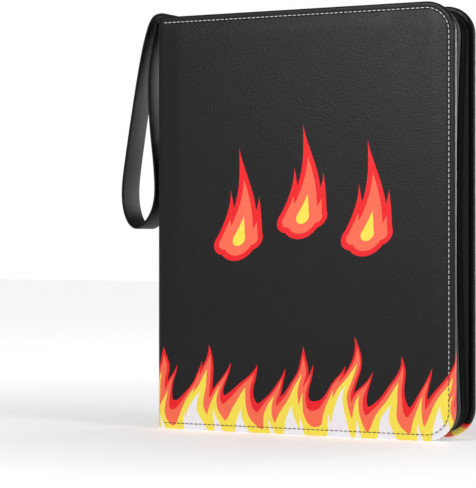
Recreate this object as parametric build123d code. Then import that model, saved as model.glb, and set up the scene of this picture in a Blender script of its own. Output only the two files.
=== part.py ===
# Zip-up trading card binder, closed and standing on its lower edges.
#
# Frame, in millimetres: X runs from the spine to the free edge, Y from the front cover to the back
# cover, Z up. The origin is the middle of the footprint of the closed case, on the surface it
# stands on. Opening turns each cover about the fold line at its corner of the spine, and the
# pages turn with it about the middle of the rings.
#
# The case is a sewn sandwich: imitation leather skin, foam, board and lining, closed by a rim
# binding. A leather gusset and zip tape stand on the inside of each cover, a little in from its
# edge, and meet at the zip. A three ring steel mechanism is riveted to the spine board and
# carries the pocket pages. A hand strap is sewn into the top of the spine.
from build123d import *
from math import cos, degrees, radians, sin, sqrt, tan
import os

os.makedirs("parts", exist_ok=True)

# ---- overall sizes -------------------------------------------------------------------------------
case_width = 272.0  # spine's outer face to the covers' free edges, X
case_depth = 46.0  # front face to back face, Y
case_height = 348.0  # Z

# ---- sandwich of the covers and the spine --------------------------------------------------------
skin_t = 1.0
foam_t = 1.4
board_t = 2.0
lining_t = 0.6
cover_t = skin_t + foam_t + board_t + lining_t
binding_width = 4.0  # rim where skin and lining are sewn together, outside the board
cover_corner_r = 25.0  # the two corners at the free edge
spine_corner_r = 3.0  # the two corners at the fold
rim_round = 0.4  # softened edge of the skins

# ---- folds beside the spine ----------------------------------------------------------------------
fold_reach = 5.5  # from the fold line to each panel beside it
fold_corner_r = 4.5  # outer radius of the soft corner
fold_skin_t = 1.2
part_gap = 0.2  # between pieces that move past each other

# ---- gusset and zip ------------------------------------------------------------------------------
gusset_inset = 5.0  # in from the covers' edges
gusset_t = 1.4
gusset_reach = 10.0  # how far the leather strip stands up from the cover's lining
side_bow = 5.0  # the long side sags inwards by this much at mid height
tape_t = 0.8
tape_lap = 4.0  # sewn under the gusset strip
zip_half_gap = 0.7  # tape edges and teeth on each side of the middle plane
teeth_width = 2.0
teeth_height = 2.2
zip_end_length = 23.0  # fixed end of the zip on the spine
zip_end_half_width = 7.4
stop_length = 3.5

# ---- slider and pull -----------------------------------------------------------------------------
slider_length = 13.0
slider_half_width = 5.0
slider_plate_t = 1.2
slider_clearance = 0.3
slider_from_stop = 2.0
slider_post_t = 1.0
slider_post_length = 3.0
slider_rail_t = 1.2
bridge_t = 1.6
bridge_reach = 3.6
bridge_bar = 1.0
pull_axis_rise = 1.3
pull_bar_r = 0.7
pull_link_t = 1.2
pull_link_width = 7.0
pull_window_length = 4.4
pull_window_width = 2.6
pull_link_length = 13.0
pull_tab_length = 24.0
pull_tab_width = 9.0
pull_tab_t = 2.4
pull_tab_start = 9.0

# ---- ring mechanism ------------------------------------------------------------------------------
ring_pitch = 108.0  # standard three hole spacing
ring_r = 14.2  # to the middle of the wire
wire_r = 1.4
ring_from_spine = 14.0  # spine lining to the middle of the rings
tip_gap = 0.1  # half the gap where the two tips meet
plate_half_width = 12.0
plate_side = 2.5  # straight side under the arch
plate_height = 5.5
plate_t = 0.8
plate_end_gap = 24.0  # from the plate's ends to the top and bottom of the case
blade_t = 0.9
blade_rise = 0.7  # over the lining
blade_inner = 0.25
blade_outer = 11.0
blade_pivot = 10.6
blade_end_gap = 7.0
ring_notch_in = 3.6  # notches in the plate's long edges, where the rings come through
ring_notch_half_height = 2.1
rivet_offset = 60.0
rivet_r = 1.8
rivet_head_r = 4.0
rivet_head_t = 1.0
rivet_foot_r = 4.5
rivet_foot_t = 0.6
rivet_clearance = 0.2
blade_notch_r = 4.3

# ---- levers at the ends of the mechanism ---------------------------------------------------------
lever_ear_t = 1.2
lever_ear_length = 6.5
lever_ear_y = 7.6
lever_width = 13.0
lever_hub_r = 2.0
lever_pin_r = 0.9
lever_pin_clearance = 0.05
lever_rise = 2.4  # pin over the lining
lever_out = 3.5  # pin beyond the plate's end
lever_tab_length = 12.0
lever_tab_t = 1.2
lever_tab_bend_deg = 20.0

# ---- pages ---------------------------------------------------------------------------------------
page_count = 12
page_t = 0.5
page_pitch = 1.2
page_side_gap = 5.6  # from the pages' free edges to the zip tape at mid height
page_end_gap = 24.0  # from the pages' ends to the top and bottom of the case
page_hole_r = 4.0
page_hole_travel = 2.4  # the holes are this much longer than round, for the rings to swing in
page_seat_gap = 0.3  # pages hang with the tops of their holes on the rings
page_hole_inset = 11.0
page_corner_r = 3.0

# ---- hand strap ----------------------------------------------------------------------------------
strap_width = 25.0
strap_t = 2.2
strap_tab_depth = 30.0  # sewn into the spine between skin and board
strap_tab_t = 1.4
strap_roll_out = 3.4  # the strap turns over on a roll this far outside the spine
strap_roll_rise = 1.0  # and this far over its top
strap_roll_r = 1.1
strap_head_gap = 0.3
strap_head_t = 1.7
strap_head_from_deg = 195.0
strap_head_to_deg = 290.0
# The hanging loop, as distances out from the roll and down from it: from the head down the outer
# arm, round the bottom and up the inner arm. It is a narrow drop that widens towards the bottom.
strap_loop = [
    (1.5, 1.8),
    (10.5, 3.5),
    (19.0, 34.0),
    (33.5, 113.0),
    (39.5, 150.0),
    (34.5, 172.0),
    (24.0, 181.0),
    (11.5, 173.5),
    (1.6, 158.0),
    (1.4, 135.0),
    (9.5, 88.0),
    (11.0, 52.0),
    (6.5, 20.0),
    (-0.2, 2.3),
]

# ---- places worked out from the sizes ------------------------------------------------------------
x_spine = -case_width / 2
x_free = case_width / 2
y_face = case_depth / 2
y_lining = y_face - cover_t
x_lining = x_spine + cover_t
x_cover = x_spine + fold_reach
mid_z = case_height / 2
half_spine = y_face - fold_reach
tape_inset = gusset_inset + gusset_t
z_tape = case_height - tape_inset
ring_x = x_lining + ring_from_spine
ring_heights = [mid_z + n * ring_pitch for n in (1, 0, -1)]
zip_start = x_lining + zip_end_length
plate_length = case_height - 2 * plate_end_gap
page_height = case_height - 2 * page_end_gap
page_edge_x = x_free - tape_inset - tape_t - side_bow - page_side_gap
page_width = page_edge_x - (ring_x + ring_r - page_hole_inset)


def save(shape, name):
    """Write one sub-part, named for what it is."""
    export_step(shape, f"parts/{name}.step")


def block(x0, x1, y0, y1, z0, z1):
    """A box between two corners."""
    return Pos((x0 + x1) / 2, (y0 + y1) / 2, (z0 + z1) / 2) * Box(
        abs(x1 - x0), abs(y1 - y0), abs(z1 - z0)
    )


def along_y(face, y0, y1):
    """Extrude a face drawn in the XZ plane so that it fills y0 to y1."""
    low, high = min(y0, y1), max(y0, y1)
    return extrude(Pos(0, high, 0) * face, high - low, dir=(0, -1, 0))


def panel_face(inset, bow=0.0, left=x_cover):
    """The cover's outline, moved in by inset, with its long side sagging in by bow."""
    x1, z0, z1 = x_free - inset, inset, case_height - inset
    low, high = (x1, 0, z0), (x1, 0, z1)
    if bow:
        side = ThreePointArc(low, (x1 - bow, 0, mid_z), high)
    else:
        side = Line(low, high)
    edges = [Line((left, 0, z0), low), side, Line(high, (left, 0, z1)), Line((left, 0, z1), (left, 0, z0))]
    face = make_face(edges)
    corners = [v for v in face.vertices() if v.X > left + 1]
    return fillet(corners, cover_corner_r - inset)


def cover_face(inset):
    """A layer of the cover: the outline moved in on all four sides, with small corners at the fold."""
    face = panel_face(inset, left=x_cover + inset)
    corners = [v for v in face.vertices() if v.X < x_cover + inset + 1]
    return fillet(corners, max(spine_corner_r - inset, 0.5))


def wall_face(inset, thickness, start):
    """A strip along the top, the long side and the bottom of the cover, seen along Y."""
    outer = panel_face(inset, side_bow, start)
    inner = panel_face(inset + thickness, side_bow, start - 1)
    return outer - inner


def mirrored(shape, side):
    """The front half is drawn at -Y; side +1 gives the rear half."""
    return shape if side < 0 else mirror(shape, Plane.XZ)


# ---- covers --------------------------------------------------------------------------------------
def cover(name, side):
    """The five layers of one cover, from the outside in."""
    y1 = -y_face + skin_t
    y2 = y1 + foam_t
    y3 = y2 + board_t
    skin = along_y(cover_face(0), -y_face, y1)
    outer_rim = skin.faces().sort_by(Axis.Y)[0].edges()
    save(mirrored(fillet(outer_rim, rim_round), side), f"{name}_skin")
    core = cover_face(binding_width)
    save(mirrored(along_y(core, y1, y2), side), f"{name}_foam")
    save(mirrored(along_y(core, y2, y3), side), f"{name}_board")
    save(mirrored(along_y(cover_face(0) - core, y1, y3), side), f"{name}_rim_binding")
    save(mirrored(along_y(cover_face(0), y3, -y_lining), side), f"{name}_lining")


# ---- gusset and zip halves -----------------------------------------------------------------------
def zip_half(name, side):
    """The leather strip, zip tape and row of teeth that stand on one cover."""
    gusset_edge = -y_lining + gusset_reach
    strip = along_y(wall_face(gusset_inset, gusset_t, x_cover), -y_lining, gusset_edge)
    save(mirrored(strip, side), f"{name}_gusset")
    tape = along_y(wall_face(tape_inset, tape_t, zip_start + part_gap), gusset_edge - tape_lap, -zip_half_gap)
    save(mirrored(tape, side), f"{name}_zip_tape")
    row = wall_face(tape_inset - teeth_height, teeth_height, zip_start + part_gap)
    teeth = along_y(row, -zip_half_gap - teeth_width, -zip_half_gap)
    save(mirrored(teeth, side), f"{name}_zip_teeth")


# ---- spine ---------------------------------------------------------------------------------------
def spine_layer(x0, x1, margin=0.0):
    """A flat layer of the spine, drawn in by margin all round."""
    reach = half_spine - margin
    return block(x0, x1, -reach, reach, margin, case_height - margin)


def rivet_holes(radius):
    """Two round posts along X, where the rivets go through."""
    post = Rot(0, 90, 0) * Cylinder(radius, 40)
    return [Pos(x_lining, 0, mid_z + n * rivet_offset) * post for n in (1, -1)]


def strap_pocket(clearance):
    """The slot in the foam where the strap's tab is sewn in."""
    half = strap_width / 2 + clearance
    x0 = x_spine + skin_t
    return block(x0, x0 + foam_t, -half, half, case_height - strap_tab_depth - clearance, case_height + 1)


def spine():
    """The five layers of the spine, like a cover's."""
    x1 = x_spine + skin_t
    x2 = x1 + foam_t
    x3 = x2 + board_t
    skin = spine_layer(x_spine, x1)
    outer_rim = skin.faces().sort_by(Axis.X)[0].edges()
    save(fillet(outer_rim, rim_round), "spine_skin")
    holes = rivet_holes(rivet_r + rivet_clearance)
    feet = rivet_feet(rivet_clearance)
    foam = spine_layer(x1, x2, binding_width) - holes - feet - strap_pocket(part_gap)
    save(foam, "spine_foam")
    save(spine_layer(x2, x3, binding_width) - holes, "spine_board")
    binding = spine_layer(x1, x3) - spine_layer(x1, x3, binding_width) - strap_pocket(part_gap)
    save(binding, "spine_rim_binding")
    save(spine_layer(x3, x_lining) - holes, "spine_lining")


def fold_strip(name, side):
    """The soft leather corner between the spine and one cover, round the fold line."""
    reach = fold_reach - part_gap
    x0, y0 = x_spine, -y_face
    inner_r = fold_corner_r - fold_skin_t
    outer = make_face(
        [
            Line((x0, y0 + fold_reach), (x0, y0 + fold_corner_r)),
            CenterArc((x0 + fold_corner_r, y0 + fold_corner_r), fold_corner_r, 180, 90),
            Line((x0 + fold_corner_r, y0), (x0 + reach, y0)),
            Line((x0 + reach, y0), (x0 + reach, y0 + fold_skin_t)),
            Line((x0 + reach, y0 + fold_skin_t), (x0 + fold_corner_r, y0 + fold_skin_t)),
            CenterArc((x0 + fold_corner_r, y0 + fold_corner_r), inner_r, 270, -90),
            Line((x0 + fold_skin_t, y0 + fold_corner_r), (x0 + fold_skin_t, y0 + fold_reach)),
            Line((x0 + fold_skin_t, y0 + fold_reach), (x0, y0 + fold_reach)),
        ]
    )
    save(mirrored(extrude(outer, case_height), side), f"{name}_fold")


# ---- fixed ends of the zip on the spine ----------------------------------------------------------
def flipped(shape, end):
    """The top end is drawn; end -1 gives the bottom one."""
    return shape if end > 0 else mirror(shape, Plane.XY.offset(mid_z))


def zip_end(name, end):
    """The short tape, teeth and stop that hold the two halves together at the spine."""
    half = zip_end_half_width
    tape = block(x_lining, zip_start, -half, half, z_tape - tape_t, z_tape)
    slit = block(x_lining + stop_length, zip_start + 1, -zip_half_gap, zip_half_gap, z_tape - 2, z_tape + 1)
    save(flipped(tape - slit, end), f"{name}_zip_end_tape")
    x0 = x_lining + stop_length
    row = block(x0, zip_start, -zip_half_gap - teeth_width, -zip_half_gap, z_tape, z_tape + teeth_height)
    save(flipped(row + mirrored(row, 1), end), f"{name}_zip_end_teeth")
    reach = zip_half_gap + teeth_width + 0.4
    stop = block(x_lining + 0.4, x0, -reach, reach, z_tape, z_tape + teeth_height + 0.4)
    save(flipped(fillet(stop.edges().filter_by(Axis.Y), 0.5), end), f"{name}_zip_stop")


# ---- slider and pull -----------------------------------------------------------------------------
slider_x = x_lining + stop_length + slider_from_stop + slider_length / 2
slider_top = z_tape + teeth_height + slider_clearance + slider_plate_t
pull_axis_z = slider_top + pull_axis_rise


def slider():
    """A cast slider: two plates joined by a post, with rails beside the teeth and a bridge."""
    x0, x1 = slider_x - slider_length / 2, slider_x + slider_length / 2
    w = slider_half_width
    under = z_tape - tape_t - slider_clearance
    top = block(x0, x1, -w, w, slider_top - slider_plate_t, slider_top)
    bottom = block(x0, x1, -w, w, under - slider_plate_t, under)
    top = fillet(top.edges().filter_by(Axis.Z), w * 0.6)
    bottom = fillet(bottom.edges().filter_by(Axis.Z), w * 0.6)
    half_post = slider_post_t / 2
    post = block(x0 + 1, x0 + 1 + slider_post_length, -half_post, half_post, under - 0.5, slider_top - 0.5)
    rail_y = zip_half_gap + teeth_width + slider_clearance
    rail = block(
        x0 + 3, x1 - 3, rail_y, rail_y + slider_rail_t, z_tape + slider_clearance, slider_top - 0.5
    )
    inner = pull_axis_z - slider_top + pull_bar_r + part_gap
    arch = block(
        slider_x - bridge_reach,
        slider_x + bridge_reach,
        -bridge_t / 2,
        bridge_t / 2,
        slider_top - 0.2,
        slider_top + inner + bridge_bar,
    )
    hollow = block(
        slider_x - bridge_reach + bridge_bar,
        slider_x + bridge_reach - bridge_bar,
        -bridge_t,
        bridge_t,
        slider_top,
        slider_top + inner,
    )
    bridge = fillet(arch.edges().filter_by(Axis.Y).sort_by(Axis.Z)[-2:], bridge_bar * 0.8) - hollow
    save(top + bottom + post + rail + mirrored(rail, 1) + bridge, "zip_slider")


def pull():
    """A steel link that hooks under the bridge, and the leather tab folded round its far end."""
    x0 = slider_x
    half_w = pull_link_width / 2
    half_t = pull_link_t / 2
    plate = block(x0, x0 + pull_link_length, -half_w, half_w, pull_axis_z - half_t, pull_axis_z + half_t)
    plate = fillet(plate.edges().filter_by(Axis.Z).sort_by(Axis.X)[-2:], 2.0)
    half_window = pull_window_width / 2
    # The bar fills the link's near end, and the window lies just past it.
    near = x0 - pull_bar_r
    window = block(
        near - 2,
        x0 + pull_bar_r + pull_window_length,
        -half_window,
        half_window,
        pull_axis_z - 3,
        pull_axis_z + 3,
    )
    bar = Pos(x0, 0, pull_axis_z) * Rot(90, 0, 0) * Cylinder(pull_bar_r, pull_link_width)
    save((plate - window) + bar, "zip_pull_link")
    tab = block(
        x0 + pull_tab_start,
        x0 + pull_tab_start + pull_tab_length,
        -pull_tab_width / 2,
        pull_tab_width / 2,
        pull_axis_z - pull_tab_t / 2,
        pull_axis_z + pull_tab_t / 2,
    )
    tab = fillet(tab.edges().filter_by(Axis.Z), 2.5)
    save(tab - plate, "zip_pull_tab")


# ---- ring mechanism ------------------------------------------------------------------------------
def arch_face(inner):
    """Cross-section of the mechanism's cover plate, or of the space under it."""
    t = plate_t if inner else 0.0
    half = plate_half_width - t
    side = x_lining + plate_side
    crown = x_lining + plate_height - t
    return make_face(
        [
            Line((x_lining, half), (side, half)),
            ThreePointArc((side, half), (crown, 0), (side, -half)),
            Line((side, -half), (x_lining, -half)),
            Line((x_lining, -half), (x_lining, half)),
        ]
    )


def lever_ears():
    """The four ears that stand on past the plate's ends and carry the lever pins."""
    ears = []
    for end in (1, -1):
        z0 = plate_length / 2 - 2.0
        for side in (1, -1):
            y0 = lever_ear_y * side
            ear = block(
                x_lining,
                x_lining + lever_rise + 1.8,
                y0,
                y0 + lever_ear_t * side,
                mid_z + z0,
                mid_z + plate_length / 2 + lever_ear_length,
            )
            ears.append(flipped(ear, end))
    return ears


def lever_pin(radius, end, length=2 * (lever_ear_y + lever_ear_t)):
    """A pin along Y through the ears at one end."""
    z = mid_z + end * (plate_length / 2 + lever_out)
    return Pos(x_lining + lever_rise, 0, z) * Rot(90, 0, 0) * Cylinder(radius, length)


def ring_plate():
    """The arched steel plate that covers the blades, with slots for the ring legs."""
    bar = Pos(0, 0, mid_z - plate_length / 2) * extrude(arch_face(False) - arch_face(True), plate_length)
    notches = [
        block(
            x_lining + 1,
            x_lining + plate_height + 1,
            side * ring_notch_in,
            side * (plate_half_width + 1),
            z - ring_notch_half_height,
            z + ring_notch_half_height,
        )
        for z in ring_heights
        for side in (1, -1)
    ]
    plate = bar - notches - rivet_holes(rivet_r + rivet_clearance)
    for ear in lever_ears():
        plate = plate + ear
    pins = [lever_pin(lever_pin_r, end, 40) for end in (1, -1)]
    save(plate - pins, "ring_plate")


def rivet_feet(clearance):
    """The flat feet of the rivets, behind the spine board."""
    x1 = x_spine + skin_t + foam_t
    t = rivet_foot_t + clearance
    foot = Rot(0, 90, 0) * Cylinder(rivet_foot_r + clearance, t)
    return [Pos(x1 - t / 2, 0, mid_z + n * rivet_offset) * foot for n in (1, -1)]


def rivets():
    """Two rivets: a foot behind the board, a post, and a low domed head on the plate."""
    x0 = x_spine + skin_t + foam_t - rivet_foot_t
    x1 = x_lining + plate_height
    solids = []
    for foot, n in zip(rivet_feet(0.0), (1, -1)):
        z = mid_z + n * rivet_offset
        post = Pos((x0 + x1) / 2, 0, z) * Rot(0, 90, 0) * Cylinder(rivet_r, x1 - x0)
        head = Pos(x1 + rivet_head_t / 2, 0, z) * Rot(0, 90, 0) * Cylinder(rivet_head_r, rivet_head_t)
        head = fillet(head.faces().sort_by(Axis.X)[-1].edges(), rivet_head_t * 0.8)
        solids.append(foot + post + head)
    save(Compound(children=solids), "ring_rivets")


def blade(name, side):
    """One hinge blade under the plate, which carries three half rings."""
    x0 = x_lining + blade_rise
    half = plate_length / 2 - blade_end_gap
    flat = block(x0, x0 + blade_t, -blade_outer, -blade_inner, mid_z - half, mid_z + half)
    notches = [
        Pos(x0, 0, mid_z + n * rivet_offset) * Rot(0, 90, 0) * Cylinder(blade_notch_r, 4) for n in (1, -1)
    ]
    save(mirrored(flat - notches, side), f"{name}_ring_blade")


def half_ring(z, side):
    """Half a ring: a round arc of wire from the tip to the blade's top face."""
    tip_deg = degrees(tip_gap / ring_r)
    blade_top = x_lining + blade_rise + blade_t
    start = Plane(
        origin=(ring_r * cos(radians(tip_deg)), -ring_r * sin(radians(tip_deg)), 0),
        x_dir=(0, 0, 1),
        z_dir=(-sin(radians(tip_deg)), -cos(radians(tip_deg)), 0),
    )
    arc = revolve(start * Circle(wire_r), Axis.Z, -(180 - tip_deg))
    arc = Pos(ring_x, 0, z) * arc
    under = block(ring_x - 2 * ring_r, blade_top, -case_depth, case_depth, z - 10, z + 10)
    return mirrored(arc - under, side)


def rings(name, side):
    """The three half rings of one blade, each in its own node."""
    for z, place in zip(ring_heights, ("top", "middle", "bottom")):
        save(half_ring(z, side), f"{name}_half_ring_{place}")


def lever(name, end):
    """A finger lever: a hub round the pin, a short toe, and a bent tab to press."""
    x0, z0 = x_lining + lever_rise, mid_z + plate_length / 2 + lever_out
    half = lever_width / 2
    hub = Pos(x0, 0, z0) * Rot(90, 0, 0) * Cylinder(lever_hub_r, lever_width)
    base = block(x0, x0 + lever_tab_length * 0.45, -half, half, z0 - lever_tab_t / 2, z0 + lever_tab_t / 2)
    knee = Pos(x0 + lever_tab_length * 0.45, 0, z0)
    tip = knee * Rot(0, -lever_tab_bend_deg, 0) * Pos(lever_tab_length * 0.3, 0, 0) * Box(
        lever_tab_length * 0.6, lever_width, lever_tab_t
    )
    tip = fillet(tip.edges().filter_by(lambda e: e.length < lever_tab_t + 0.01).sort_by(Axis.X)[-2:], 3.0)
    bend = knee * Rot(90, 0, 0) * Cylinder(lever_tab_t / 2, lever_width)
    shape = hub + base + bend + tip - lever_pin(lever_pin_r + lever_pin_clearance, 1, 40)
    save(flipped(shape, end), f"{name}_lever")
    save(flipped(lever_pin(lever_pin_r, 1), end), f"{name}_lever_pin")


# ---- pages ---------------------------------------------------------------------------------------
def pages():
    """Flat pocket pages, counted from the front cover. Each hangs where its plane meets the rings."""
    drop = page_hole_r - wire_r - page_seat_gap
    for number in range(page_count):
        y = (number - (page_count - 1) / 2) * page_pitch
        hole_x = ring_x + sqrt(ring_r**2 - y**2)
        x0 = hole_x - page_hole_inset
        sheet = Plane.XZ * RectangleRounded(page_width, page_height, page_corner_r)
        sheet = along_y(Pos(x0 + page_width / 2, 0, mid_z - drop) * sheet, y - page_t / 2, y + page_t / 2)
        slot = Plane.XZ * SlotCenterToCenter(page_hole_travel, 2 * page_hole_r)
        slot = along_y(Pos(hole_x + page_hole_travel / 2, 0, -drop) * slot, y - page_t, y + page_t)
        holes = [Pos(0, 0, z) * slot for z in ring_heights]
        save(sheet - holes, f"page_{number + 1:02d}")


# ---- hand strap ----------------------------------------------------------------------------------
roll_x = x_spine - strap_roll_out
roll_z = case_height + strap_roll_rise


def smooth_line(points):
    """Straight runs through the points, with as large an arc at each corner as its runs allow."""
    radii = []
    for a, b, c in zip(points, points[1:], points[2:]):
        run_in, run_out = Vector(*b) - Vector(*a), Vector(*c) - Vector(*b)
        turn = radians(run_in.get_angle(run_out))
        radii.append(0.45 * min(run_in.length, run_out.length) / tan(turn / 2))
    return FilletPolyline(*points, radius=radii)


def strap_tab():
    """The sewn end of the strap: up out of the spine's top seam, over it, and round a small roll."""
    half = strap_width / 2
    x0 = x_spine + skin_t
    over = roll_z - strap_tab_t / 2
    sewn = case_height - strap_tab_depth
    upright = block(x0, x0 + strap_tab_t, -half, half, sewn, over + strap_tab_t)
    across = block(roll_x, x0, -half, half, over, over + strap_tab_t)
    roll = Pos(roll_x, 0, roll_z) * Rot(90, 0, 0) * Cylinder(strap_roll_r, strap_width)
    save(upright + across + roll, "strap_tab")


def strap_loop_band():
    """The hanging loop: one band whose ends are sewn together into a head that hugs the roll."""
    points = [(-out, -down) for out, down in strap_loop]
    arms = trace(smooth_line(points), strap_t)
    head_r = strap_roll_r + strap_head_gap
    middle_deg = (strap_head_from_deg + strap_head_to_deg) / 2
    rim = [
        Vector(3 * strap_t, 0).rotate(Axis.Z, deg)
        for deg in (strap_head_from_deg, middle_deg, strap_head_to_deg)
    ]
    head = Circle(head_r + strap_head_t) & make_face(Polyline((0, 0), *rim, close=True))
    flat = (arms + head) - Circle(head_r)
    half = strap_width / 2
    upright = Plane(origin=(roll_x, half, roll_z), x_dir=(1, 0, 0), z_dir=(0, -1, 0))
    save(extrude(upright * flat, strap_width), "strap_loop")


def main():
    for name, side in (("front", -1), ("back", 1)):
        cover(name, side)
        zip_half(name, side)
        fold_strip(name, side)
        blade(name, side)
        rings(name, side)
    spine()
    for name, end in (("top", 1), ("bottom", -1)):
        zip_end(name, end)
        lever(name, end)
    slider()
    pull()
    ring_plate()
    rivets()
    pages()
    strap_tab()
    strap_loop_band()


main()
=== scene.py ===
# %% [markdown]
# # A zip-up trading card binder
# The case is a sewn sandwich of imitation leather, foam and board, with a zip round three sides,
# a ring mechanism on the spine and a hand strap. The CAD frame gives every size and every joint.
# This script gives the pieces their sewn, woven and cast looks. It loads the frame first, because
# the box of the CAD model is the limit for all that follows.

# %% Load the frame
import bpy
import bmesh
from math import cos, exp, hypot, pi, radians, sin
from mathutils import Matrix, Vector


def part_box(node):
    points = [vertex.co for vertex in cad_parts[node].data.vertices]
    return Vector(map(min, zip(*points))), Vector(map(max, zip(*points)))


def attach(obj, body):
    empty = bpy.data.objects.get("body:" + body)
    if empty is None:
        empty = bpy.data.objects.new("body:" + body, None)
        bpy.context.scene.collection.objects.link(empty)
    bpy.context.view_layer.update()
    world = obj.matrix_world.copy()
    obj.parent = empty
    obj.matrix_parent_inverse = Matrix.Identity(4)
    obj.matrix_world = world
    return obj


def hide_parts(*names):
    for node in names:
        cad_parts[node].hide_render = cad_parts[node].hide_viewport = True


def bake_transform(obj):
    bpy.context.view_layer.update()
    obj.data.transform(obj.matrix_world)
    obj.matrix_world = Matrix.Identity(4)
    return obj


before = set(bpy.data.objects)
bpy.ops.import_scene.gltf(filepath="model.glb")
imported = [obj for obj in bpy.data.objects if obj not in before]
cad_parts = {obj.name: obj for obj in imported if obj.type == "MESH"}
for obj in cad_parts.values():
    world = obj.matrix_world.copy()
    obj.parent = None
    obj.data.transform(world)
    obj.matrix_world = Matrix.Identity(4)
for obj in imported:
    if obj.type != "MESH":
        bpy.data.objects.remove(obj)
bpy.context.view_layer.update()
MM = 0.001

# %% [markdown]
# The covers and the spine are flat panels, so a few numbers from their boxes place everything:
# the case's free edge, its outer faces and its height. The leather goes round the corner of the
# spine in an arc, which is a little softer than the fold strip of the CAD model. The front is on
# the side of -y and the back on +y, and each half is made by the same code.

# %% Sizes of the case
skin_low, skin_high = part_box("front_skin")
free_x = skin_high.x
spine_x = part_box("spine_skin")[0].x
face_y = -skin_low.y
case_top = skin_high.z
cover_t = face_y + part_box("front_lining")[1].y
corner_r = 25 * MM
fold_r = 6 * MM
fold_x = spine_x + fold_r
fold_length = fold_r * pi / 2
middle_s = fold_x - fold_length - (face_y - fold_r)
covers = (("front", -1), ("back", 1))
print("cover thickness", round(cover_t / MM, 2), "mm, spine's middle at", round(middle_s / MM, 1))

# %% [markdown]
# A finish is one material. Patterns are sums of waves and noise, and they read best as plain
# arithmetic, so a small class wraps one output of the node tree and turns +, -, * and / into
# Math nodes. Every other node comes from one method, add.

# %% Shader arithmetic
class Signal:
    """One output of a material's node tree, on which arithmetic adds Math nodes."""

    def __init__(self, finish, socket):
        self.finish = finish
        self.socket = socket

    def maths(self, operation, *values):
        return self.finish.add("ShaderNodeMath", {"operation": operation}, dict(enumerate(values)))

    def __add__(self, other):
        return self.maths("ADD", self, other)

    def __sub__(self, other):
        return self.maths("SUBTRACT", self, other)

    def __rsub__(self, other):
        return self.maths("SUBTRACT", other, self)

    def __mul__(self, other):
        return self.maths("MULTIPLY", self, other)

    def __truediv__(self, other):
        return self.maths("DIVIDE", self, other)

    def __pow__(self, other):
        return self.maths("POWER", self, other)

    def __gt__(self, other):
        return self.maths("GREATER_THAN", self, other)

    def __lt__(self, other):
        return self.maths("LESS_THAN", self, other)

    __radd__ = __add__
    __rmul__ = __mul__

    def sine(self):
        return self.maths("SINE", self)

    def size(self):
        return self.maths("ABSOLUTE", self)

    def most(self, other):
        return self.maths("MAXIMUM", self, other)

    def least(self, other):
        return self.maths("MINIMUM", self, other)

    def to_nearest(self, pitch):
        """Distance to the nearest whole number of pitches."""
        return self.maths("PINGPONG", self, pitch / 2)


class Finish:
    """A material: its constants on the shader's own sockets, and the nodes that vary it."""

    def __init__(self, name, colour, roughness, **constants):
        self.material = bpy.data.materials.new(name)
        self.material.use_nodes = True
        self.tree = self.material.node_tree
        self.shader = self.tree.nodes["Principled BSDF"]
        self.material.diffuse_color = (*colour, 1)
        self.set("Base Color", (*colour, 1))
        self.set("Roughness", roughness)
        for socket, value in constants.items():
            self.set(socket.replace("_", " "), value)

    def put(self, socket, value):
        if isinstance(value, Signal):
            self.tree.links.new(value.socket, socket)
        else:
            socket.default_value = value

    def set(self, name, value):
        self.put(self.shader.inputs[name], value)

    def add(self, kind, settings=None, values=None, out=0):
        node = self.tree.nodes.new(kind)
        for name, value in (settings or {}).items():
            setattr(node, name, value)
        for name, value in (values or {}).items():
            self.put(node.inputs[name], value)
        return Signal(self, node.outputs[out])

    def object_place(self):
        return self.add("ShaderNodeTexCoord", out="Object")

    def axes(self, place):
        node = self.tree.nodes.new("ShaderNodeSeparateXYZ")
        self.put(node.inputs[0], place)
        return [Signal(self, output) for output in node.outputs]

    def noise(self, place, scale, detail=3.0, roughness=0.55):
        values = {"Vector": place, "Scale": scale, "Detail": detail, "Roughness": roughness}
        return self.add("ShaderNodeTexNoise", None, values, "Fac")

    def mix(self, factor, first, second):
        return self.add("ShaderNodeMix", {"data_type": "RGBA"}, {0: factor, 6: first, 7: second}, 2)

    def bump(self, height, distance, strength=1.0):
        values = {"Strength": strength, "Distance": distance, "Height": height}
        self.set("Normal", self.add("ShaderNodeBump", None, values, "Normal"))


def shade(colour, factor, lift=0.0):
    """A paler or darker tone of a colour."""
    return (*(min(1, factor * value + lift) for value in colour), 1)


print("shader arithmetic ready")

# %% [markdown]
# The print on the covers is a band of flames along the lower edge. It could be cut out as film,
# but on the real case it is ink in the leather's surface, so here it is colour only and the grain
# runs on under it. Each tongue is one minus the size of a sine wave: sharp at its tip and round in
# its valley. Slow waves change the tongues' heights, and the inner colours are the same outline
# drawn lower. Three loose licks of flame stand higher up on the front; being small, they go
# through the same colours in a shorter depth. All lengths of the print are in millimetres.

# %% Flame print
PRINT = {
    "red": (0.83, 0.012, 0.018),
    "salmon": (0.93, 0.15, 0.08),
    "yellow": (0.91, 0.74, 0.08),
    "white": (0.84, 0.82, 0.87),
}
PRINT_STEPS = (("red", 0.0), ("salmon", 7.5), ("yellow", 21.0), ("white", 41.0))
WIDE_PITCH = 44
THIN_PITCH = 26
BACK_DROP = 30
LICK_PLACES = ((-56, 142), (3, 160), (61, 146))
LICK_TONGUES = ((0, 0, 18, 76), (-13, 5, 10, 44), (13, 9, 9, 36))
LICK_DEEPENING = 1.7
FAR_OUTSIDE = -100.0


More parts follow.
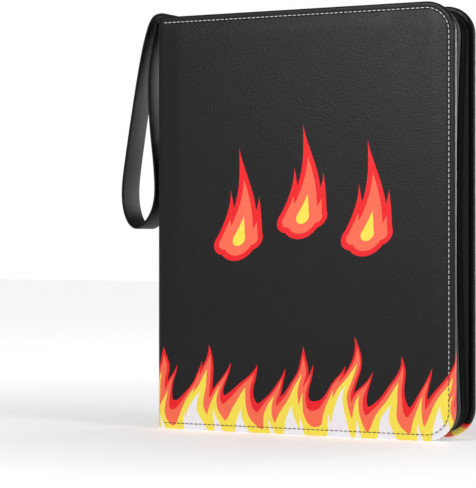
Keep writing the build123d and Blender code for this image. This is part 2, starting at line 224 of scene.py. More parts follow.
def flame_band(finish, x, z):
    """How far a point lies inside the band of flames, in mm; x and z are in mm."""
    sway = finish.noise(finish.add("ShaderNodeCombineXYZ", None, {0: x, 1: z}), 0.022, 1.0) * 16
    leaning = x + (z / 13).sine() * 4.5 - z * 0.14 + sway
    wide = (1 - (leaning * (pi / WIDE_PITCH)).sine().size()) ** 1.25
    thin = (1 - ((leaning + 17) * (pi / THIN_PITCH)).sine().size()) ** 1.6
    height = 44 + (x / 23).sine() * 8 + (x / 51).sine() * 5
    top = 26 + (x / 17).sine() * 3 + (wide * height).most(thin * 30)
    return top - z


def lick(x, z, middle, low, radius, tall):
    """One flame: a round foot, drawn out to a swaying tip."""
    up = z - (low + radius)
    aside = x - middle - (up / 19).sine() * 4.5 - up * 0.05
    foot = radius - (aside * aside + up * up) ** 0.5
    tongue = (1 - up / tall).most(0.0) ** 1.35 * radius - aside.size()
    return foot.most(tongue.least(up * 4))


def loose_licks(x, z):
    """The same for three separate flames, each with a smaller tongue on both sides."""
    inside = FAR_OUTSIDE
    for middle, low in LICK_PLACES:
        for aside, rise, radius, tall in LICK_TONGUES:
            inside = lick(x, z, middle + aside, low + rise, radius, tall).most(inside)
    return inside * LICK_DEEPENING


def flame_depth(finish, x, z, cover):
    """The front has the whole print; on the back the band is lower and has no licks above it."""
    band_depth = flame_band(finish, x, z)
    if cover == "front":
        return band_depth.most(loose_licks(x, z))
    return band_depth - BACK_DROP


print("flame print:", ", ".join(name for name, _ in PRINT_STEPS))

# %% [markdown]
# Imitation leather is a pressed skin: small rounded cells with fine creases between them. Voronoi
# cells give the pebbles and two noises soften them. Its black is never even, so slow noise shifts
# colour and roughness. The covers read their pattern from a stored flat place, so that grain and
# print go round the rim and the fold as they do on a wrapped sheet.

# %% Leather
COVER_BLACK = (0.0042, 0.0036, 0.0037)


def leather(name, colour, roughness, gloss, cell=950.0, cover=None):
    """Imitation leather; a cover's reads its stored flat place and carries the print."""
    finish = Finish(name, colour, roughness, Specular_IOR_Level=gloss)
    if cover:
        place = finish.add("ShaderNodeAttribute", {"attribute_name": "flat_place"}, out="Vector")
    else:
        place = finish.object_place()
    cells = finish.add("ShaderNodeTexVoronoi", None, {"Vector": place, "Scale": cell}, "Distance")
    fine = finish.noise(place, cell * 2.3, 4.0)
    broad = finish.noise(place, 55.0, 3.0)
    clouds = finish.noise(place, 13.0, 2.0)
    lighter = shade(colour, 1.7, 0.004)
    skin = finish.mix(clouds * 0.7 + fine * 0.3, (*colour, 1), lighter)
    if cover:
        x, z, _ = finish.axes(place)
        depth = flame_depth(finish, x / MM, z / MM, cover)
        for tint, step in PRINT_STEPS:
            ink = finish.mix(clouds * 0.25, (*PRINT[tint], 1), shade(PRINT[tint], 0.8))
            skin = finish.mix(depth > step, skin, ink)
    finish.set("Base Color", skin)
    finish.set("Roughness", broad * 0.12 + fine * 0.08 + (roughness - 0.1))
    finish.bump(cells * -0.9 + fine * 0.5 + broad * 0.9, 0.16 * MM, 0.75)
    return finish.material


front_leather = leather("front_cover_leather", COVER_BLACK, 0.36, 0.2, cover="front")
back_leather = leather("back_cover_leather", COVER_BLACK, 0.36, 0.2, cover="back")
gusset_leather = leather("gusset_leather", (0.003, 0.003, 0.003), 0.42, 0.12, cell=1300.0)
strap_leather = leather("strap_leather", (0.004, 0.0037, 0.0037), 0.4, 0.16, cell=1500.0)
print("leathers made")

# %% [markdown]
# Woven pieces show their threads close up. Two crossed waves give over and under, and a noise
# breaks them up. The lining has the finer weave and the zip tape the coarser one.

# %% Woven cloth
def woven(name, colour, threads, roughness=0.85, sheen=0.25):
    finish = Finish(name, colour, roughness, Sheen_Weight=sheen)
    place = finish.object_place()
    x, y, z = finish.axes(place)
    across = ((x + y) * threads).sine()
    along = ((z + y) * threads).sine()
    fuzz = finish.noise(place, threads * 0.5, 2.0)
    weave = across * along
    pale = shade(colour, 2.2)
    finish.set("Base Color", finish.mix(weave * 0.3 + fuzz * 0.5, (*colour, 1), pale))
    finish.set("Roughness", fuzz * 0.1 + (roughness - 0.05))
    finish.bump(weave + fuzz, 0.1 * MM, 0.6)
    return finish.material


lining_cloth = woven("lining_cloth", (0.009, 0.009, 0.010), 7000.0)
tape_cloth = woven("zip_tape_cloth", (0.007, 0.007, 0.007), 5200.0)
print("cloths made")

# %% [markdown]
# The stitching is white thread with a fine twist in it. Over the print it is dark, so the flame
# formula chooses its colour too.

# %% Thread
DARK_THREAD = (0.05, 0.045, 0.045, 1)


def sewing_thread(name, colour):
    finish = Finish(name, colour, 0.75, Sheen_Weight=0.2)
    place = finish.object_place()
    x, y, z = finish.axes(place)
    twist = ((x + z + y * 2) * 9000.0).sine()
    fuzz = finish.noise(place, 1800.0, 2.0)
    pale = finish.mix(fuzz * 0.5, (*colour, 1), shade(colour, 0.6))
    depth = flame_band(finish, x / MM, z / MM)
    finish.set("Base Color", finish.mix(depth > 0.0, pale, DARK_THREAD))
    finish.bump(twist + fuzz, 0.08 * MM, 0.7)
    return finish.material


white_thread = sewing_thread("white_thread", (0.78, 0.78, 0.76))
print("thread made")

# %% [markdown]
# Metal parts are small and smooth, so what sells them is fine wear: brushed streaks on plated
# steel, and lacquer that thins a little here and there on the slider. Coil teeth are drawn nylon.

# %% Metal and plastic
def smooth_metal(name, colour, roughness, metallic, streak):
    finish = Finish(name, colour, roughness, Metallic=metallic)
    place = finish.object_place()
    wear = finish.noise(place, 260.0, 4.0)
    stretched = finish.add("ShaderNodeMapping", None, {"Vector": place, "Scale": (1, 1, 0.04)})
    brushed = finish.noise(stretched, 3500.0, 2.0)
    worn = shade(colour, 1.25, 0.01)
    finish.set("Base Color", finish.mix(wear, (*colour, 1), worn))
    finish.set("Roughness", wear * 0.16 + brushed * streak + (roughness - 0.08))
    finish.bump(brushed + wear, 0.02 * MM, 0.4)
    return finish.material


ring_steel = smooth_metal("ring_steel", (0.74, 0.74, 0.76), 0.2, 1.0, 0.1)
slider_lacquer = smooth_metal("slider_lacquer", (0.02, 0.02, 0.021), 0.3, 0.4, 0.05)
coil_nylon = smooth_metal("coil_nylon", (0.085, 0.085, 0.088), 0.28, 0.0, 0.04)
print("metals made")

# %% [markdown]
# Foam and grey board never show on a whole binder, but they are real layers: foam is open cells,
# and the board is pressed fibre with flecks.

# %% Foam and board
def filler(name, colour, scale, depth):
    finish = Finish(name, colour, 0.92)
    place = finish.object_place()
    cells = finish.add("ShaderNodeTexVoronoi", None, {"Vector": place, "Scale": scale}, "Distance")
    flecks = finish.noise(place, scale * 0.4, 5.0)
    dark = shade(colour, 0.55)
    finish.set("Base Color", finish.mix(flecks, (*colour, 1), dark))
    finish.bump(cells + flecks, depth)
    return finish.material


padding_foam = filler("padding_foam", (0.3, 0.3, 0.3), 1400.0, 0.2 * MM)
grey_board = filler("grey_board", (0.30, 0.28, 0.25), 700.0, 0.08 * MM)
print("fillers made")

# %% [markdown]
# A pocket page is two clear films welded together in a grid of nine, with a white punched strip at
# the rings. The welds are pressed lines, a little whiter and rougher than the film. Their grid is
# worked out from the page's own box.

# %% Page film
page_low, page_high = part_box("page_01")
strip_width = 19 * MM
weld_half = 0.9 * MM
film_clearness = 0.55
pocket_width = (page_high.x - page_low.x - strip_width) / 3
pocket_height = (page_high.z - page_low.z) / 3


def page_film():
    finish = Finish("page_film", (0.80, 0.81, 0.83), 0.3, Transmission_Weight=0.25)
    place = finish.object_place()
    x, _, z = finish.axes(place)
    from_strip = x - (page_low.x + strip_width)
    from_foot = z - page_low.z
    to_weld = from_strip.to_nearest(pocket_width).least(from_foot.to_nearest(pocket_height))
    pockets = from_strip > 0.0
    weld = (to_weld < weld_half) * pockets
    ripple = finish.noise(place, 24.0, 2.0)
    finish.set("Base Color", finish.mix(weld, (0.72, 0.74, 0.77, 1), (0.92, 0.93, 0.95, 1)))
    finish.set("Roughness", ripple * 0.1 + weld * 0.3 + 0.18)
    finish.set("Alpha", 1 - pockets * (1 - weld) * film_clearness)
    finish.bump(ripple * 1.4 - weld, 0.3 * MM, 0.5)
    return finish.material


clear_film = page_film()
print("pockets of", round(pocket_width / MM, 1), "by", round(pocket_height / MM, 1), "mm")

# %% [markdown]
# The metal parts, fillers, gussets, tapes and pages already have their true shape in CAD. They
# keep it, and only take a finish.

# %% Finishes on the CAD parts
def finish_nodes(material, slot, names):
    for name in names:
        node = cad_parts[name]
        if not node.material_slots:
            node.data.materials.append(material)
        for place in node.material_slots:
            place.material = material
    print(slot, "on", len(names), "parts")


sides = ("front", "back")
ends = ("top", "bottom")
layers = [*sides, "spine"]
rings = [f"{side}_{part}" for side in sides
         for part in ("ring_blade", "half_ring_top", "half_ring_middle", "half_ring_bottom")]
levers = [f"{end}_{part}" for end in ends for part in ("lever", "lever_pin")]
pages = [f"page_{number:02d}" for number in range(1, 13)]
finish_nodes(ring_steel, "ring_steel", ["ring_plate", "ring_rivets", *rings, *levers])
finish_nodes(slider_lacquer, "slider_metal", ["zip_slider", "zip_pull_link", "zip_pull_tab"])
finish_nodes(slider_lacquer, "slider_metal", [f"{end}_zip_stop" for end in ends])
finish_nodes(padding_foam, "padding", [f"{layer}_foam" for layer in layers])
finish_nodes(grey_board, "grey_board", [f"{layer}_board" for layer in layers])
finish_nodes(gusset_leather, "gusset_leather", [f"{side}_gusset" for side in sides])
finish_nodes(tape_cloth, "zip_tape", [f"{side}_zip_tape" for side in sides])
finish_nodes(tape_cloth, "zip_tape", [f"{end}_zip_end_tape" for end in ends])
finish_nodes(coil_nylon, "zip_teeth", [f"{end}_zip_end_teeth" for end in ends])
finish_nodes(clear_film, "page_film", pages)

# %% [markdown]
# New pieces come out of bmesh. One helper turns a bmesh into an object that sits at the origin,
# with its place in its mesh, as the CAD parts have.

# %% Piece helper
def piece(name, bm, material, smooth=True):
    mesh = bpy.data.meshes.new(name)
    for face in bm.faces:
        face.smooth = smooth
    bm.to_mesh(mesh)
    bm.free()
    mesh.materials.append(material)
    made = bpy.data.objects.new(name, mesh)
    bpy.context.scene.collection.objects.link(made)
    print(name, "has", len(mesh.polygons), "faces")
    return made


# %% [markdown]
# The wrapped leather is easiest to think of as a flat sheet. A point on it has a place s across
# and z up. Near the edge the sheet rolls over the rim, and past the spine's corner it turns the
# fold. rim_roll works out the first and fold_round the second, so everything that lies on the
# leather can use the same two steps. The skin is also pillowed by the foam and pulled down along
# the line of stitches, which skin_rise gives.

# %% The sheet's roll and fold
rim_r = 1.5 * MM
rim_wall = cover_t - 2 * rim_r
rim_arc = rim_r * pi / 2
turn_in = 3.3 * MM
stitch_inset = 5.0 * MM
pillow_height = 0.9 * MM
pillow_edge = 13 * MM
pillow_edge_at_fold = 16 * MM
groove_depth = 0.4 * MM
groove_half = 0.9 * MM
pattern_shift = 2 * MM
half_s = free_x - middle_s


def rim_distance(s, z):
    """How far a point is outside the sheet's outline, and the outward direction there."""
    across = abs(s - middle_s) - (half_s - corner_r)
    up = abs(z - case_top / 2) - (case_top / 2 - corner_r)
    if across > 0 and up > 0:
        out = hypot(across, up)
        direction = Vector((across, up)) / out
    elif across > up:
        out, direction = across, Vector((1, 0))
    else:
        out, direction = up, Vector((0, 1))
    direction.x *= 1 if s > middle_s else -1
    direction.y *= 1 if z > case_top / 2 else -1
    return out - corner_r, direction


def rim_roll(past):
    """Where a point lies that is past the start of the rim by this much: (outward, rise)."""
    if past <= 0:
        return past, 0.0
    if past < rim_arc:
        turn = past / rim_r
        return rim_r * sin(turn), rim_r * (cos(turn) - 1)
    past -= rim_arc
    if past < rim_wall:
        return rim_r, -rim_r - past
    past -= rim_wall
    if past < rim_arc:
        turn = past / rim_r
        return rim_r * cos(turn), -cover_t + rim_r * (1 - sin(turn))
    return rim_arc - past, -cover_t


def fold_round(s, z, rise):
    """From the flat sheet to the front of the case: a point, with its height over the leather."""
    if s >= fold_x:
        return Vector((s, -face_y - rise, z))
    past = fold_x - s
    if past < fold_length:
        turn = past / fold_r
        reach = fold_r + rise
        return Vector((fold_x - reach * sin(turn), -(face_y - fold_r) - reach * cos(turn), z))
    return Vector((spine_x - rise, -(face_y - fold_r) + past - fold_length, z))


def soft_step(value):
    value = min(max(value, 0.0), 1.0)
    return value * value * (3 - 2 * value)


def skin_rise(s, inside):
    """Pillow of the padding, and the groove that the thread pulls."""
    from_fold = soft_step((s - fold_x - 1 * MM) / pillow_edge_at_fold)
    pillow = pillow_height * soft_step((inside - stitch_inset) / pillow_edge) * from_fold
    groove = groove_depth * exp(-((inside - stitch_inset) / groove_half) ** 2)
    return pillow - groove * soft_step((s - fold_x) / (3 * MM))


print("rim is rolled at", round(rim_r / MM, 1), "mm")

# %% [markdown]
# The sheet starts as one square face, scaled to the sheet and with its corners bevelled round.
# Insets follow its outline and put edges where the rim bends; cuts by planes then add a grid for
# the pillow and the fold. The sheet is cut down the spine's middle, so that each cover has a half
# of its own. The back half is the front one mirrored.

# %% Flat sheet
def flat_sheet(reach, rings_at, grid):
    """Half of the case's sheet, reach past the outline, with edge loops at those distances in.

    The cuts are close together on the spine and round the fold, and a grid apart on the cover.
    """
    bm = bmesh.new()
    bmesh.ops.create_grid(bm, x_segments=1, y_segments=1, size=1)
    bmesh.ops.scale(bm, vec=(half_s + reach, case_top / 2 + reach, 1), verts=bm.verts)
    bmesh.ops.translate(bm, vec=(middle_s, case_top / 2, 0), verts=bm.verts)
    bmesh.ops.bevel(bm, geom=bm.verts[:], affect="VERTICES", offset=corner_r + reach, segments=18,
                    profile=0.5, offset_type="OFFSET", material=-1)
    middle = max(bm.faces, key=lambda face: face.calc_area())
    gone = 0.0
    for place in rings_at:
        bmesh.ops.inset_region(bm, faces=[middle], thickness=place - gone, use_boundary=True,
                               use_even_offset=True)
        gone = place
    cuts = [(middle_s + 2 * MM * n, 0) for n in range(9)]
    cuts += [(fold_x - fold_length * n / 9, 0) for n in range(10)]
    cuts += [(fold_x + 4 * MM * n, 0) for n in range(1, 6)]
    cuts += [(fold_x + 20 * MM + grid * n, 0) for n in range(1, int((free_x - fold_x) / grid))]
    cuts += [(grid * n, 1) for n in range(1, int(case_top / grid) + 1)]
    bmesh.ops.bisect_plane(bm, geom=bm.verts[:] + bm.edges[:] + bm.faces[:], dist=1e-7,
                           plane_co=(middle_s, 0, 0), plane_no=(1, 0, 0), clear_inner=True)
    for place, axis in cuts:
        point, normal = [0, 0, 0], [0, 0, 0]
        point[axis], normal[axis] = place, 1
        bmesh.ops.bisect_plane(bm, geom=bm.verts[:] + bm.edges[:] + bm.faces[:], dist=1e-7,
                               plane_co=point, plane_no=normal)
    return bm


def wrap_sheet(bm, drop, side, pillowed):
    """Rolls and folds the flat sheet into place, and keeps its flat place for the finish.

    The last part of the flat place moves the grain of the two covers apart.
    """
    flat = bm.verts.layers.float_vector.new("flat_place")
    for vert in bm.verts:
        s, z = vert.co.x, vert.co.y
        out, direction = rim_distance(s, z)
        vert[flat] = Vector((s, z, pattern_shift * side))
        if pillowed:
            along, rise = rim_roll(out + rim_r)
            shift = direction * (along - (out + rim_r))
            rise += skin_rise(s, -out) if out < -rim_r else 0.0
        else:
            shift, rise = Vector((0, 0)), -drop
        vert.co = fold_round(s + shift.x, z + shift.y, rise)
    if side > 0:
        bmesh.ops.scale(bm, vec=(1, -1, 1), verts=bm.verts)
    sample = max(bm.faces, key=lambda face: face.calc_center_median().x * face.calc_area())
    bm.normal_update()
    if sample.normal.y * side < 0:
        bmesh.ops.reverse_faces(bm, faces=bm.faces[:])
    return bm


def thicken(made, thickness):
    wall = made.modifiers.new("thickness", "SOLIDIFY")
    wall.thickness = thickness
    wall.offset = -1
    wall.use_even_offset = True


print("sheet is", round(2 * half_s / MM), "by", round(case_top / MM), "mm")

# %% [markdown]
# The leather itself: its edge rings fall on the turn-in, the two rounded edges of the rim, the wall
# between them, and both sides of the stitch groove. It stands for the skins, the fold strips and
# the rim binding.

# %% Wrapped leather
skin_t = 0.8 * MM
bend_reach = 6.5 * MM
sheet_reach = rim_arc * 2 + rim_wall - rim_r + turn_in
rim_steps = [turn_in / 2, turn_in]
rim_steps += [turn_in + rim_arc * n / 4 for n in range(1, 5)]
rim_steps += [turn_in + rim_arc + rim_wall * n / 2 for n in (1, 2)]
rim_steps += [turn_in + rim_arc + rim_wall + rim_arc * n / 5 for n in range(1, 6)]
groove_steps = [2.6, 3.7, 4.2, 4.6, 5.0, 5.4, 5.8, 6.4, 7.6, 9.5, 12.0, 15.0, 18.5]
rim_steps += [sheet_reach + step * MM for step in groove_steps]


def bend_with_cover(made, side):
    """Bakes the piece's place into its mesh; the ends of a bend at the spine's corner are worked
    out, but nothing bends.
    """
    start = (spine_x, (face_y - bend_reach) * side, 0)
    end = (spine_x + bend_reach, face_y * side, 0)
    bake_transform(made)


for name, side, skin in (("front", -1, front_leather), ("back", 1, back_leather)):
    sheet = wrap_sheet(flat_sheet(sheet_reach, rim_steps, 9 * MM), 0, side, True)
    cover = piece(f"{name}_wrapped_leather", sheet, skin)
    thicken(cover, skin_t)
    bend_with_cover(cover, side)
    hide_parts(f"{name}_skin", f"{name}_fold", f"{name}_rim_binding")
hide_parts("spine_skin", "spine_rim_binding")

# %% [markdown]
# The lining is a cloth sheet glued to the inside of the boards. It starts under the leather's
# turn-in, crosses the fold and covers the spine. It is cut a little smaller than the case all
# round, and laid flat, so it keeps the size it was cut to.

# %% Lining
lining_t = 0.45 * MM
lining_drop = cover_t - 0.1 * MM
lining_inset = 4 * MM
for name, side in covers:
    sheet = flat_sheet(-lining_inset, [2 * MM], 24 * MM)
    sheet = wrap_sheet(sheet, lining_drop, side, False)
    bmesh.ops.reverse_faces(sheet, faces=sheet.faces[:])
    cloth = piece(f"{name}_lining_cloth", sheet, lining_cloth)
    thicken(cloth, lining_t)
    bend_with_cover(cloth, side)
    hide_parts(f"{name}_lining")
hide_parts("spine_lining")

# %% [markdown]
# Stitches and zip teeth both follow the cover's outline, moved in. edge_walk goes along it at an
# even pitch: across the top, round the corner, down the free side, round, and back along the
# bottom. For the zip the long side also sags inwards, as the soft gusset does.

# %% Walk along the edge
def edge_walk(inset, start_x, pitch, sag=0.0):
    """Places along the outline as (x, z, direction), in even steps."""
    radius = corner_r - inset
    across = free_x - inset - radius - start_x
    side_run = case_top - 2 * inset - 2 * radius
    bend = radius * pi / 2
    total = 2 * across + side_run + 2 * bend
    count = int(total / pitch)
    middle = case_top / 2
    for number in range(count + 1):
        gone = number * total / count
        turn = 0.0
        if gone <= across:
            x, z = start_x + gone, case_top - inset
        elif gone <= across + bend:
            turn = (gone - across) / radius
            x = free_x - inset - radius + radius * sin(turn)
            z = case_top - inset - radius + radius * cos(turn)
        elif gone <= across + bend + side_run:
            turn = pi / 2
            x, z = free_x - inset, case_top - inset - radius - (gone - across - bend)
        elif gone <= across + 2 * bend + side_run:
            turn = pi / 2 + (gone - across - bend - side_run) / radius
            x = free_x - inset - radius + radius * sin(turn)
            z = inset + radius + radius * cos(turn)
        else:
            turn = pi
            x, z = free_x - inset - radius - (gone - across - 2 * bend - side_run), inset
        bow = sag * (1 - ((z - middle) / (middle - inset)) ** 2)
        at_free_side = soft_step((x - free_x + 40 * MM) / (30 * MM))
        yield x - bow * at_free_side, z, turn


def bead(bm, size, bevel, place):
    """A small block with softened edges, put in place by a matrix."""
    made = bmesh.ops.create_cube(bm, size=1)["verts"]
    bmesh.ops.scale(bm, vec=size, verts=made)
    edges = list({edge for vert in made for edge in vert.link_edges})
    result = bmesh.ops.bevel(bm, geom=edges, affect="EDGES", offset=bevel, segments=1,
                             profile=0.5, offset_type="OFFSET", material=-1)
    verts = {vert for face in result["faces"] for vert in face.verts}
    bmesh.ops.transform(bm, matrix=place, verts=list(verts))


stitch_line = len(list(edge_walk(stitch_inset, fold_x, 1 * MM)))
print("stitch line is about", stitch_line, "mm long")

# %% [markdown]
# Each stitch is a short plump bead of thread that lies in its groove. A sewing machine makes
# them all alike, so one loop sets them along the walk.

# %% Stitching
stitch_pitch = 4.2 * MM
stitch_size = (2.9 * MM, 0.55 * MM, 0.62 * MM)
stitch_y = face_y - 0.2 * MM
for name, side in covers:
    bm = bmesh.new()
    for x, z, turn in edge_walk(stitch_inset, fold_x + 3 * MM, stitch_pitch):
        place = Matrix.Translation((x, side * stitch_y, z)) @ Matrix.Rotation(turn, 4, "Y")
        bead(bm, stitch_size, 0.2 * MM, place)
    thread = piece(f"{name}_stitching", bm, white_thread)
    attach(thread, f"{name}_cover")

# %% [markdown]
# A coil zip has two spirals of nylon, one sewn to each tape. Each loop is one slanted bead here,
# because there are hundreds and they are under a millimetre thick. The rear row sits half a step
# on, as its loops would drop between the front ones. On a closed zip they mesh; here both rows
# stop just short of the middle, because the slider's post passes between them.

# %% Zip coils
teeth_low, teeth_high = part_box("front_zip_teeth")
coil_inset = case_top - teeth_high.z
coil_height = teeth_high.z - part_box("front_zip_tape")[1].z
coil_pitch = 1.7 * MM
coil_reach = 2.15 * MM
coil_size = (0.72 * MM, coil_reach, coil_height)
coil_slant = Matrix.Rotation(radians(14), 4, "Z")
side_sag = 5.0 * MM
for name, side in covers:
    bm = bmesh.new()
    first = teeth_low.x + 0.8 * MM + (coil_pitch / 2 if side > 0 else 0.0)
    for x, z, turn in edge_walk(coil_inset + coil_height / 2, first, coil_pitch, side_sag):
        middle_y = side * (-teeth_low.y - coil_reach / 2)
        place = Matrix.Translation((x, middle_y, z)) @ Matrix.Rotation(turn, 4, "Y") @ coil_slant
        bead(bm, coil_size, 0.22 * MM, place)
    coil = piece(f"{name}_zip_coil", bm, coil_nylon)
    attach(coil, f"{name}_cover")
    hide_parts(f"{name}_zip_teeth")

# %% [markdown]
# The hand strap is one band, folded to a long loop. A curve along its middle line, widened and
# given a round edge, makes a flat band with soft sides. Its points start at the sewn end inside the
# top of the spine, go over the top and down the outer run, and come back up the inner one. The band
# turns slightly as it hangs, as leather does.

# %% Strap band
loop_low, loop_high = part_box("strap_loop")
strap_half = loop_high.y
strap_t = 2.2 * MM
roll_x = spine_x - 3.4 * MM
roll_z = case_top + 1.0 * MM
inner_run_x = roll_x - 3.4 * MM
loop_points = [
    (-5.1, 14), (-5.1, 1.6), (-4.9, -2.4), (-1.0, -3.0), (6.0, -1.4), (11.5, 8), (19, 36),
    (33, 113), (39, 150), (34.5, 172), (24, 181), (11.5, 173.5), (3.6, 158), (3.4, 135),
    (9.5, 88), (11, 52), (6.8, 20), (2.6, 4.5),
]


def band(name, points, thickness, half_width):
    """A flat band along points, given as mm out from the roll and down from it."""
    curve = bpy.data.curves.new(name, "CURVE")
    curve.dimensions = "3D"
    curve.twist_mode = "Z_UP"
    curve.resolution_u = 10
    curve.bevel_depth = thickness / 2
    curve.bevel_resolution = 3
    curve.extrude = half_width - thickness / 2
    spline = curve.splines.new("NURBS")
    spline.points.add(len(points) - 1)
    for point, (out, down) in zip(spline.points, points):
        point.co = (roll_x - out * MM, roll_z - down * MM, 0, 1)
    spline.order_u = 3
    spline.use_endpoint_u = True
    curve.use_fill_caps = True
    shape = bpy.data.objects.new(name, curve)
    mesh = bpy.data.meshes.new_from_object(shape)
    bpy.data.objects.remove(shape)
    bm = bmesh.new()
    bm.from_mesh(mesh)
    bmesh.ops.remove_doubles(bm, verts=bm.verts, dist=1e-6)
    bmesh.ops.rotate(bm, matrix=Matrix.Rotation(pi / 2, 3, "X"), verts=bm.verts)
    bmesh.ops.recalc_face_normals(bm, faces=bm.faces)
    return bm


def hang_turned(bm, degrees_at_foot):
    """Turns the band about its inner run, more towards the foot."""
    centre = Vector((inner_run_x, 0, 0))
    for vert in bm.verts:
        low = min(max((roll_z - vert.co.z) / (roll_z - loop_low.z), 0.0), 1.0)
        turned = Matrix.Rotation(radians(degrees_at_foot * low), 3, "Z")
        vert.co = centre + turned @ (vert.co - centre)


bm = band("strap", loop_points, strap_t, strap_half)
hang_turned(bm, -5.0)
strap = piece("hand_strap", bm, strap_leather)
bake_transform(strap)
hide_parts("strap_tab", "strap_loop")

# %% [markdown]
# Each pocket of a page is a second film, welded on at its edges, with an open mouth a little below
# the weld above. The pockets are very thin plates with rounded corners, laid on both faces of every
# page. A strip of white plastic with rounded ends stiffens the punched edge. The strip is shorter
# than the page, and has a slot over each ring.

# %% Pocket films and binding strips
pocket_gap = 1.6 * MM
mouth_gap = 5.0 * MM
film_t = 0.14 * MM
strip_t = 0.2 * MM
strip_margin = 2 * MM
strip_share = 0.88
ring_clearance = 7.5 * MM


def pocket_places(low):
    """The nine pockets of a page, each as (left, right, foot, mouth)."""
    for column in range(3):
        left = low.x + strip_width + column * pocket_width
        right = left + pocket_width
        for row in range(3):
            foot = low.z + row * pocket_height
            mouth = foot + pocket_height - mouth_gap
            yield left + pocket_gap, right - pocket_gap, foot + pocket_gap, mouth


def strip_places(low):
    """The lengths of the white strip, between and beyond the slots for the rings."""
    left = low.x + strip_margin
    right = low.x + strip_width - strip_margin
    middle = low.z + 1.5 * pocket_height
    half = 1.5 * pocket_height * strip_share
    foot = middle - half
    for place in ("bottom", "middle", "top"):
        ring_low, ring_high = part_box(f"front_half_ring_{place}")
        ring_z = (ring_low.z + ring_high.z) / 2
        yield left, right, foot, ring_z - ring_clearance
        foot = ring_z + ring_clearance
    yield left, right, foot, middle + half


def plates(places, near_y, far_y, thickness, corner):
    """Thin rounded plates on both faces of a page: laid out flat, raised together, mirrored."""
    bm = bmesh.new()
    for left, right, foot, head in places:
        made = bmesh.ops.create_grid(bm, x_segments=1, y_segments=1, size=0.5)["verts"]
        bmesh.ops.scale(bm, vec=(right - left, head - foot, 1), verts=made)
        bmesh.ops.translate(bm, vec=((left + right) / 2, (foot + head) / 2, 0), verts=made)
    bmesh.ops.bevel(bm, geom=bm.verts[:], affect="VERTICES", offset=corner, segments=3,
                    profile=0.5, offset_type="OFFSET", material=-1)
    raised = bmesh.ops.extrude_face_region(bm, geom=bm.faces[:])["geom"]
    top = [part for part in raised if isinstance(part, bmesh.types.BMVert)]
    bmesh.ops.translate(bm, vec=(0, 0, thickness), verts=top)
    bmesh.ops.rotate(bm, matrix=Matrix.Rotation(pi / 2, 3, "X"), verts=bm.verts)
    half = (far_y - near_y) / 2
    bmesh.ops.translate(bm, vec=(0, -half, 0), verts=bm.verts)
    bmesh.ops.mirror(bm, geom=bm.verts[:] + bm.edges[:] + bm.faces[:], axis="Y", merge_dist=1e-7)
    bmesh.ops.translate(bm, vec=(0, near_y + half, 0), verts=bm.verts)
    bmesh.ops.recalc_face_normals(bm, faces=bm.faces)
    return bm


white_strip = Finish("white_strip", (0.86, 0.86, 0.87), 0.45)
strip_grain = white_strip.noise(white_strip.object_place(), 400.0, 3.0)
white_strip.set("Roughness", strip_grain * 0.2 + 0.35)
white_strip.bump(strip_grain, 0.05 * MM, 0.4)
for number, page in enumerate(pages):
    low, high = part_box(page)
    body = "front_pages" if number < len(pages) / 2 else "back_pages"
    bm = plates(pocket_places(low), low.y, high.y, film_t, 1.5 * MM)
    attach(piece(f"{page}_pockets", bm, clear_film, smooth=False), body)
    bm = plates(strip_places(low), low.y, high.y, strip_t, 2 * MM)
    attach(piece(f"{page}_strip", bm, white_strip.material, smooth=False), body)

# %% [markdown]
# The picture of a binder wants a pale floor and soft light. The floor glows by its own emission and
# is painted darker around the case: a painted shadow that fades to white further out. One light
# from the front and above gives the leather its sheen, one from the side picks out the rims, and
# one from behind edges the free side. The pale world fills the rest: it shows white behind the case
# but lights it at a fifth of that, so black leather stays black. A long lens keeps the case
# upright.

# %% Floor, light and camera
WORLD_FILL = 0.2


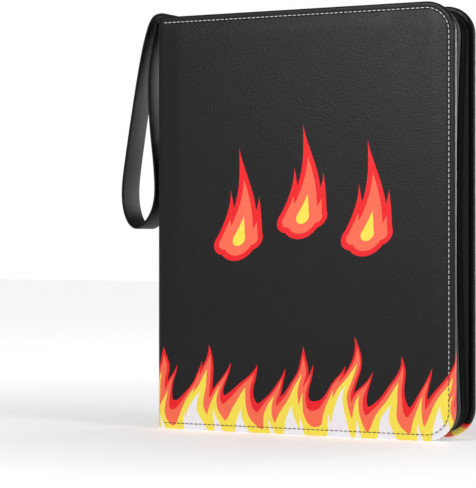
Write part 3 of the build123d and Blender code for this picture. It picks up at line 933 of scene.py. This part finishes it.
def floor_with_painted_shadow():
    finish = Finish("painted_shadow_floor", (0.86, 0.86, 0.87), 0.7, Emission_Strength=0.74)
    x, y, _ = finish.axes(finish.object_place())
    # Painted shadow: the floor's own glow is grey under the case and fades to white about 0.9 m
    # out.
    painted_shadow_fade = ((x * x + y * y) ** 0.5 * 1.1).least(1.0)
    finish.set("Emission Color", finish.mix(painted_shadow_fade, (0.42, 0.42, 0.43, 1), (1, 1, 1, 1)))
    dust = finish.noise(finish.object_place(), 6.0, 2.0)
    finish.set("Roughness", dust * 0.1 + 0.6)
    return finish.material


def soft_light(name, place, target, size, power):
    data = bpy.data.lights.new(name, "AREA")
    data.shape, data.size, data.energy = "DISK", size, power
    lamp = bpy.data.objects.new(name, data)
    lamp.location = place
    lamp.rotation_euler = (Vector(target) - Vector(place)).to_track_quat("-Z", "Y").to_euler()
    bpy.context.scene.collection.objects.link(lamp)


bm = bmesh.new()
bmesh.ops.create_grid(bm, x_segments=1, y_segments=1, size=6)
floor = bpy.data.objects.new("floor", bpy.data.meshes.new("floor"))
bm.to_mesh(floor.data)
bm.free()
floor.data.materials.append(floor_with_painted_shadow())
bpy.context.scene.collection.objects.link(floor)
world = bpy.data.worlds.new("pale_studio")
world.use_nodes = True
pale = world.node_tree.nodes["Background"]
pale.inputs["Color"].default_value = (1, 1, 1, 1)
seen = world.node_tree.nodes.new("ShaderNodeLightPath")
level = world.node_tree.nodes.new("ShaderNodeMapRange")
level.inputs["To Min"].default_value = WORLD_FILL
level.inputs["To Max"].default_value = 1.0
world.node_tree.links.new(seen.outputs["Is Camera Ray"], level.inputs["Value"])
world.node_tree.links.new(level.outputs[0], pale.inputs["Strength"])
bpy.context.scene.world = world
soft_light("front_light", (-0.33, -1.5, 0.74), (0.1, 0, 0.3), 0.34, 12)
soft_light("side_light", (1.6, -0.4, 0.7), (0.1, 0, 0.2), 0.5, 11)
soft_light("rim_light", (0.62, 1.7, 0.4), (0.136, 0, 0.2), 0.6, 9)
bpy.context.scene.view_settings.view_transform = "Standard"
lens = bpy.data.cameras.new("camera")
lens.lens, lens.sensor_width = 152.3, 36
camera = bpy.data.objects.new("camera", lens)
camera.location = (0.757, -1.529, 0.156)
camera.rotation_euler = (pi / 2, 0, radians(28.4))
bpy.context.scene.collection.objects.link(camera)
bpy.context.scene.camera = camera
print("camera is", round(camera.location.length, 2), "m from the middle of the case's foot")
